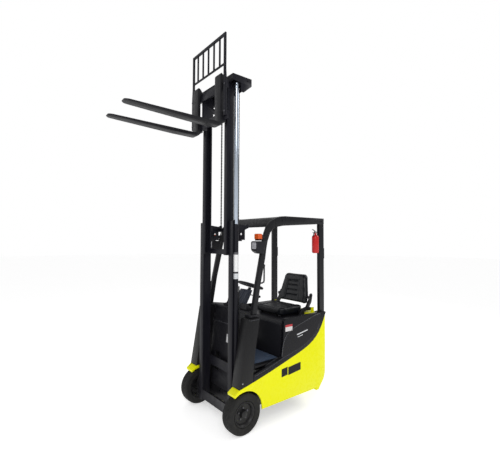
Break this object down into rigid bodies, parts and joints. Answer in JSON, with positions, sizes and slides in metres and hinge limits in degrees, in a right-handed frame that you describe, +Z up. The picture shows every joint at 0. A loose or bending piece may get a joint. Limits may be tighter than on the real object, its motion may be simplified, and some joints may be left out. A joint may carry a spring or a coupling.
{
  "type": "electric counterbalance forklift",
  "caption": "Small electric three-wheel counterbalance forklift with a raised two-stage mast, load backrest, pallet forks, overhead guard, driver's seat and rear counterweight.",
  "frame": {"origin": "on the ground in the middle of the overall length and width", "axes": "+Z up, the truck faces -Y, its left side is +X"},
  "size_m": [0.926, 2.293, 3.8466],
  "materials": {
    "lime_paint": "gloss lime yellow paint",
    "black_paint": "satin black paint",
    "black_plastic": "grained black plastic",
    "mast_steel": "semi-gloss black paint",
    "blue_grey": "ribbed blue-grey rubber and plastic",
    "tyre": "solid rubber on a painted rim",
    "chrome_rod": "polished hard chrome",
    "chain_steel": "oiled chain steel",
    "red_paint": "gloss red paint",
    "amber_lens": "amber lens",
    "red_lens": "red lens",
    "lamp_body": "black housing with a clear lens",
    "seat_vinyl": "black vinyl",
    "battery_grey": "grey steel tray",
    "rubber": "ribbed rubber pads"
  },
  "bodies": {
    "chassis": {"battery_box_front": "black_plastic", "chassis_frame": "lime_paint", "control_levers": "black_plastic", "counterweight": "lime_paint", "dash_panel": "black_plastic", "direction_lever": "black_plastic", "fire_extinguisher": "red_paint", "floor_mat": "blue_grey", "floor_plate": "black_paint", "front_axle": "black_paint", "front_cowl": "black_plastic", "grab_handle": "black_paint", "guard_leg_front_left": "black_paint", "guard_leg_front_right": "black_paint", "guard_leg_rear_left": "black_paint", "guard_leg_rear_right": "black_paint", "guard_roof": "black_paint", "headlamp_left": "lamp_body", "headlamp_right": "lamp_body", "instrument_display": "black_plastic", "leg_shield_left": "black_plastic", "leg_shield_right": "black_plastic", "pedals": "rubber", "side_cover_left": "black_plastic", "side_cover_right": "black_plastic", "steering_column": "blue_grey", "tail_lamp_left": "red_lens", "tail_lamp_right": "red_lens", "traction_battery": "battery_grey", "turn_lamp_left": "amber_lens", "turn_lamp_right": "amber_lens"},
    "outer_mast": {"outer_mast": "mast_steel", "lift_cylinder_left": "mast_steel", "lift_cylinder_right": "mast_steel", "chain_rear_left": "chain_steel", "chain_rear_right": "chain_steel"},
    "inner_mast": {"inner_mast": "mast_steel", "lift_rod_left": "chrome_rod", "lift_rod_right": "chrome_rod", "chain_sheaves": "chain_steel"},
    "fork_carriage": {"fork_carriage": "black_paint", "load_backrest": "black_paint", "fork_left": "black_paint", "fork_right": "black_paint", "chain_front_left": "chain_steel", "chain_front_right": "chain_steel"},
    "tilt_barrel_left": {"tilt_cylinder_left": "black_paint"},
    "tilt_barrel_right": {"tilt_cylinder_right": "black_paint"},
    "tilt_rod_left": {"tilt_rod_left": "chrome_rod"},
    "tilt_rod_right": {"tilt_rod_right": "chrome_rod"},
    "front_wheel_left": {"front_wheel_left": "tyre"},
    "front_wheel_right": {"front_wheel_right": "tyre"},
    "drive_unit": {"drive_unit": "black_paint"},
    "drive_wheel": {"drive_wheel": "tyre"},
    "steering_wheel": {"steering_wheel": "black_plastic"},
    "battery_hood": {"battery_hood": "black_plastic", "seat_frame": "black_paint", "seat_cushion": "seat_vinyl", "seat_back": "seat_vinyl"}
  },
  "joints": [
    {"name": "mast_tilt", "type": "hinge", "parent": "chassis", "child": "outer_mast", "pos_m": [0, -0.05, 0.19], "axis": [1, 0, 0], "range_deg": [-5, 3]},
    {"name": "mast_lift", "type": "slide", "parent": "outer_mast", "child": "inner_mast", "axis": [0, 0, 1], "range_m": [-1.45, 0], "deforming": ["chain_rear_left", "chain_rear_right"]},
    {"name": "carriage_lift", "type": "slide", "parent": "inner_mast", "child": "fork_carriage", "axis": [0, 0, 1], "range_m": [-1.45, 0]},
    {"name": "left_wheel_spin", "type": "hinge", "parent": "chassis", "child": "front_wheel_left", "pos_m": [0.4055, -0.05, 0.19], "axis": [1, 0, 0], "continuous": true},
    {"name": "right_wheel_spin", "type": "hinge", "parent": "chassis", "child": "front_wheel_right", "pos_m": [-0.4055, -0.05, 0.19], "axis": [1, 0, 0], "continuous": true},
    {"name": "rear_steer", "type": "hinge", "parent": "chassis", "child": "drive_unit", "pos_m": [0, 0.87, 0.165], "axis": [0, 0, 1], "range_deg": [-90, 90]},
    {"name": "drive_wheel_spin", "type": "hinge", "parent": "drive_unit", "child": "drive_wheel", "pos_m": [0, 0.87, 0.165], "axis": [1, 0, 0], "continuous": true},
    {"name": "steering_wheel_turn", "type": "hinge", "parent": "chassis", "child": "steering_wheel", "pos_m": [0, 0.375, 1.305], "axis": [0, 0.342, 0.9397], "range_deg": [-810, 810]},
    {"name": "hood_open", "type": "hinge", "parent": "chassis", "child": "battery_hood", "pos_m": [0, 1.05, 1.012], "axis": [-1, 0, 0], "range_deg": [0, 55]},
    {"name": "tilt_barrel_left_swing", "type": "hinge", "parent": "chassis", "child": "tilt_barrel_left", "pos_m": [0.2, 0.38, 0.46], "axis": [1, 0, 0], "range_deg": [-0.52, 0.8]},
    {"name": "tilt_rod_left_slide", "type": "slide", "parent": "tilt_barrel_left", "child": "tilt_rod_left", "axis": [0, -0.9933, 0.1152], "range_m": [-0.02823, 0.01714]},
    {"name": "tilt_barrel_right_swing", "type": "hinge", "parent": "chassis", "child": "tilt_barrel_right", "pos_m": [-0.2, 0.38, 0.46], "axis": [1, 0, 0], "range_deg": [-0.52, 0.8]},
    {"name": "tilt_rod_right_slide", "type": "slide", "parent": "tilt_barrel_right", "child": "tilt_rod_right", "axis": [0, -0.9933, 0.1152], "range_m": [-0.02823, 0.01714]}
  ],
  "couplings": [
    {"joint": "carriage_lift", "follows": "mast_lift", "ratio": 1},
    {"joint": "steering_wheel_turn", "follows": "rear_steer", "ratio": 9},
    {"joint": "tilt_barrel_left_swing", "follows": "mast_tilt", "ratio": -0.14031},
    {"joint": "tilt_rod_left_slide", "follows": "mast_tilt", "m_per_rad": 0.31773},
    {"joint": "tilt_barrel_right_swing", "follows": "mast_tilt", "ratio": -0.14031},
    {"joint": "tilt_rod_right_slide", "follows": "mast_tilt", "m_per_rad": 0.31773}
  ]
}
